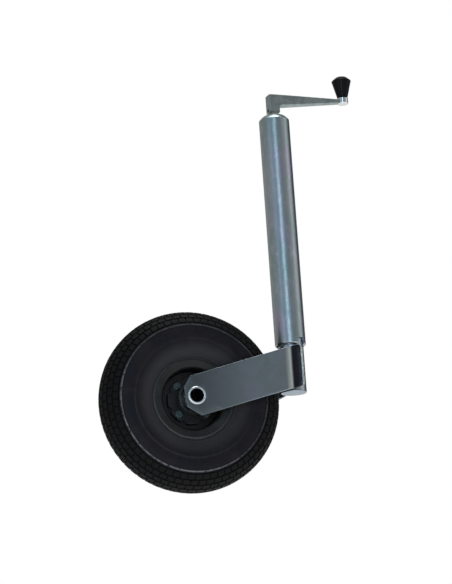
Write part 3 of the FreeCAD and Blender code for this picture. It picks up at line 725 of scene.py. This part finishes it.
def bent(length, height, depth, side):
    """A point of the flat strap, at a depth under its outer face, put on the bent arm."""
    turn = min(max(length - BEND_START, 0.0) / BEND_MIDDLE_R, BEND_TURN)
    beyond = max(length - BEND_END, 0.0)
    x = min(AXLE.x / MM + length, BEND_X) + (BEND_R - depth) * math.sin(turn) + beyond * math.cos(turn)
    y = ARM_FACE + BEND_R - (BEND_R - depth) * math.cos(turn) + beyond * math.sin(turn)
    return Vector((x, y * side, height + AXLE.z / MM)) * MM


def nose_rings():
    """Loops of points round the axle, from the hole out to the edge of the strap's free end."""
    polygon = nose_outline()
    corners = [math.atan2(z, x) % (2 * math.pi) for x, z in polygon]
    turns = {round(2 * math.pi * i / RAYS, 5) for i in range(RAYS)}
    turns = sorted([t for t in turns if min(abs(t - c) for c in corners) > CORNER_GAP] + corners)
    rings = []
    for share in (0.0, 0.25, 1.0):
        loop = []
        for turn in turns:
            hole = Vector((math.cos(turn), math.sin(turn))) * AXLE_HOLE_R
            loop.append(hole.lerp(ray_hit(turn, polygon), share))
        rings.append(loop)
    return rings


def strap_columns(closing):
    """Columns of points along the rest of the strap, each divided as the nose's last column is."""
    low, high = arm_foot(NOSE_LENGTH), arm_top(NOSE_LENGTH)
    shares = [(p.y - low) / (high - low) for p in closing]
    stretches = ((BEND_START, FLAT_STEPS), (BEND_END, BEND_STEPS), (BEND_END + STRAIGHT, STRAIGHT_STEPS))
    columns = []
    start = NOSE_LENGTH
    for end, steps in stretches:
        for i in range(1, steps + 1):
            x = start + (end - start) * i / steps
            foot, rise = arm_foot(x), arm_top(x) - arm_foot(x)
            columns.append([Vector((x, foot + rise * share)) for share in shares])
        start = end
    return columns


def add_sheet(work, rings, columns, depth):
    """One face of the flat strap, at a depth; returns its vertices by place."""
    made = {}

    def vertex(p):
        key = (round(p.x, 4), round(p.y, 4))
        if key not in made:
            made[key] = work.verts.new((p.x, depth, p.y))
        return made[key]

    for near, far in zip(rings, rings[1:]):
        for i in range(len(near)):
            k = (i + 1) % len(near)
            work.faces.new([vertex(near[i]), vertex(far[i]), vertex(far[k]), vertex(near[k])])
    for left, right in zip(columns, columns[1:]):
        for i in range(len(left) - 1):
            work.faces.new([vertex(left[i]), vertex(right[i]), vertex(right[i + 1]), vertex(left[i + 1])])
    return made


def fork_arm(node, side):
    """A strap with a hole at the axle, made flat, its edges rounded, and then bent round to the tube."""
    rings = nose_rings()
    closing = sorted((p for p in rings[-1] if p.x > NOSE_LENGTH - 1e-4), key=lambda p: p.y)
    columns = [closing] + strap_columns(closing)
    work = bmesh.new()
    outer = add_sheet(work, rings, columns, 0.0)
    inner = add_sheet(work, rings, columns, ARM_T)
    face_of = {vertex: key for key, vertex in outer.items()}
    for edge in [e for e in work.edges if len(e.link_faces) == 1 and e.verts[0] in face_of]:
        a, b = edge.verts
        work.faces.new([a, b, inner[face_of[b]], inner[face_of[a]]])
    bmesh.ops.recalc_face_normals(work, faces=work.faces)
    sharp = [e for e in work.edges if len(e.link_faces) == 2 and e.calc_face_angle(0) > SHARP]
    bmesh.ops.bevel(work, geom=sharp, offset=ARM_EDGE, segments=3, profile=0.5, affect="EDGES",
                    clamp_overlap=True)
    points = [bent(v.co.x, v.co.z, v.co.y, side) for v in work.verts]
    work.verts.index_update()
    faces = [tuple(v.index for v in face.verts) for face in work.faces]
    work.free()
    return add_piece(node + "_plate", points, faces, node)


def weld_beads():
    """A row of overlapping ripples down each seam between arm and tube."""
    low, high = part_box("weld_beads")
    foot, top = low.z / MM + 0.2, high.z / MM - 0.2
    steps, sides = 220, 20
    points, faces = [], []
    for side in (1, -1):
        centre = Vector((SEAM_REACH * math.cos(SEAM_TURN), -SEAM_REACH * math.sin(SEAM_TURN)))
        first = len(points)
        for i in range(steps + 1):
            share = i / steps
            z = foot + (top - foot) * share
            end = min(share, 1 - share) * (top - foot)
            round_end = math.sqrt(max(0.0, 1 - (1 - min(1.0, end / SEAM_R)) ** 2))
            wander = 0.22 * math.sin(z * 0.55 + side) + 0.12 * math.sin(z * 1.37)
            for k in range(sides):
                turn = 2 * math.pi * k / sides
                outward = math.cos(turn + SEAM_TURN)
                wave = (z / RIPPLE + 0.32 * outward) % 1.0
                swell = 0.86 + 0.14 * math.sqrt(max(0.0, 1 - (2 * wave - 1) ** 2)) + 0.05 * math.sin(z * 0.9)
                r = max(0.02, SEAM_R * swell * round_end)
                spot = centre + Vector((math.cos(turn), math.sin(turn))) * r
                points.append(Vector((spot.x + wander * 0.5, (spot.y + wander * 0.5) * side, z)) * MM)
        for i in range(steps):
            for k in range(sides):
                n = (k + 1) % sides
                a, b = first + i * sides, first + (i + 1) * sides
                faces.append((a + k, a + n, b + n, b + k))
        faces.append(tuple(first + k for k in range(sides)))
        faces.append(tuple(first + steps * sides + k for k in range(sides)))
    return add_piece("weld_ripples", points, faces, "weld_beads", 50.0)


# ---- camera, lights and floor ----

# the camera looks at the tube's foot from the left and from below; the aim is off to the side of it
CAMERA_TURN = math.radians(16.129)
CAMERA_DROP = math.radians(12.381)
CAMERA_ROLL = math.radians(4.167)
CAMERA_DISTANCE = 3.6
VIEW_HEIGHT = 0.9046
AIM_RIGHT = -0.0935
AIM_UP = 0.0876
SENSOR = 36.0
FLOOR_Z = -2.2
FLOOR_REACH = 30.0
FLOOR_SIDES = 64


def add_camera():
    """A long lens, with the picture turned so that the tube leans."""
    right = Vector((math.cos(CAMERA_TURN), -math.sin(CAMERA_TURN), 0))
    level = Vector((math.sin(CAMERA_TURN), math.cos(CAMERA_TURN), 0))
    into = level * math.cos(CAMERA_DROP) + UP * math.sin(CAMERA_DROP)
    above = right.cross(into)
    place = TUBE_FOOT - into * CAMERA_DISTANCE
    aim = TUBE_FOOT + right * AIM_RIGHT + above * AIM_UP
    ahead = (aim - place).normalized()
    up = above * math.cos(CAMERA_ROLL) + right * math.sin(CAMERA_ROLL)
    side = ahead.cross(up).normalized()
    turn = Matrix((side, side.cross(ahead), -ahead)).transposed()
    data = bpy.data.cameras.new("camera")
    data.lens = SENSOR * CAMERA_DISTANCE / VIEW_HEIGHT
    data.sensor_width = SENSOR
    data.clip_start = 0.1
    data.clip_end = 60.0
    camera = bpy.data.objects.new("camera", data)
    camera.matrix_world = Matrix.Translation(place) @ turn.to_4x4()
    bpy.context.scene.collection.objects.link(camera)
    bpy.context.scene.camera = camera


def add_softbox(name, azimuth, elevation, distance, width, height, power, colour):
    """A rectangular light that faces the object; azimuth 0 is in front, on the -Y side, and 90 is on +X."""
    a, e = math.radians(azimuth), math.radians(elevation)
    back = Vector((math.sin(a) * math.cos(e), -math.cos(a) * math.cos(e), math.sin(e)))
    data = bpy.data.lights.new(name, "AREA")
    data.shape = "RECTANGLE"
    data.size = width
    data.size_y = height
    data.energy = power
    data.color = colour
    lamp = bpy.data.objects.new(name, data)
    lamp.location = TUBE_FOOT + back * distance
    lamp.rotation_mode = "QUATERNION"
    lamp.rotation_quaternion = back.to_track_quat("Z", "Y")
    bpy.context.scene.collection.objects.link(lamp)


# name, azimuth, elevation, distance, width, height, power, colour
SOFTBOXES = (
    ("front_strip", -16, 0, 3.0, 0.62, 3.2, 13, (0.72, 0.90, 1.0)),
    ("edge_strip", -56, 6, 3.0, 0.9, 2.0, 1.6, (0.78, 0.90, 1.0)),
    ("side_box", 76, 14, 2.6, 0.9, 1.8, 1.7, (1, 1, 1)),
    ("top_box", 0, 84, 2.6, 1.4, 1.4, 30, (1, 1, 1)),
)


# radiance of the room round the object, by azimuth in degrees from the front, +90 on the +X side;
# the last number is how blue it is, from 0, warm grey, to 1
ROOM = (
    (-180, 0.38, 0.0), (-150, 0.43, 0.0), (-110, 0.37, 0.0), (-72, 0.41, 0.35), (-45, 0.40, 1.0),
    (-28, 0.37, 1.0), (8, 0.27, 0.5), (20, 0.27, 0.15), (38, 0.34, 0.15), (55, 0.46, 0.0),
    (74, 0.60, 0.1), (90, 0.56, 0.1), (98, 0.30, 0.1), (105, 0.06, 0.3), (130, 0.05, 0.3),
    (142, 0.26, 0.1), (160, 0.36, 0.0), (180, 0.37, 0.0),
)
WARM = Vector((1.02, 1.0, 0.97))
BLUE = Vector((0.76, 1.0, 1.30))


def add_world():
    """White behind the object for the camera, and a dim room of soft panels for everything else."""
    world = bpy.data.worlds.new("studio")
    bpy.context.scene.world = world
    world.use_nodes = True
    tree = world.node_tree
    tree.nodes.clear()
    new, link = tree.nodes.new, tree.links.new
    place = new("ShaderNodeTexCoord")
    axes = new("ShaderNodeSeparateXYZ")
    front = new("ShaderNodeMath")
    front.operation = "MULTIPLY"
    front.inputs[1].default_value = -1.0
    azimuth = new("ShaderNodeMath")
    azimuth.operation = "ARCTAN2"
    share = new("ShaderNodeMapRange")
    share.inputs["From Min"].default_value = -math.pi
    share.inputs["From Max"].default_value = math.pi
    ramp = new("ShaderNodeValToRGB")
    ramp.color_ramp.elements.remove(ramp.color_ramp.elements[1])
    for index, (degrees, value, blue) in enumerate(ROOM):
        at = (degrees + 180) / 360
        element = ramp.color_ramp.elements[0] if index == 0 else ramp.color_ramp.elements.new(at)
        element.color = (*(WARM.lerp(BLUE, blue) * value), 1)
    room = new("ShaderNodeBackground")
    white = new("ShaderNodeBackground")
    white.inputs["Color"].default_value = (1, 1, 1, 1)
    rays = new("ShaderNodeLightPath")
    mix = new("ShaderNodeMixShader")
    out = new("ShaderNodeOutputWorld")
    link(place.outputs["Generated"], axes.inputs[0])
    link(axes.outputs["Y"], front.inputs[0])
    link(axes.outputs["X"], azimuth.inputs[0])
    link(front.outputs[0], azimuth.inputs[1])
    link(azimuth.outputs[0], share.inputs["Value"])
    link(share.outputs["Result"], ramp.inputs["Fac"])
    link(ramp.outputs["Color"], room.inputs["Color"])
    link(rays.outputs["Is Camera Ray"], mix.inputs["Fac"])
    link(room.outputs["Background"], mix.inputs[1])
    link(white.outputs["Background"], mix.inputs[2])
    link(mix.outputs["Shader"], out.inputs["Surface"])


def add_floor():
    """A wide pale floor, far enough down that low views of the object stay clear of it."""
    mesh = bpy.data.meshes.new("floor")
    turns = [2 * math.pi * i / FLOOR_SIDES for i in range(FLOOR_SIDES)]
    rim = [(FLOOR_REACH * math.cos(t), FLOOR_REACH * math.sin(t), FLOOR_Z) for t in turns]
    mesh.from_pydata(rim, [], [tuple(range(FLOOR_SIDES))])
    paint = Paint("floor", (0.86, 0.86, 0.86), roughness=0.9)
    paint.shader.inputs["Emission Color"].default_value = (1, 1, 1, 1)
    away = paint.new("VectorMath", [(0, paint.coordinates)], operation="LENGTH").outputs["Value"]
    paint.tree.links.new(paint.ranged(away, 2.6, 9.0, 0.60, 0.54), paint.shader.inputs["Emission Strength"])
    mesh.materials.append(paint.material)
    floor = bpy.data.objects.new("floor", mesh)
    bpy.context.scene.collection.objects.link(floor)


def write_size():
    """Brings the view layer up to date."""
    bpy.context.view_layer.update()


finish_cad_nodes()
tyre()
fork_arm("fork_arm_left", 1)
fork_arm("fork_arm_right", -1)
weld_beads()
add_camera()
for softbox in SOFTBOXES:
    add_softbox(*softbox)
add_world()
add_floor()
bpy.context.scene.view_settings.view_transform = "Standard"
write_size()
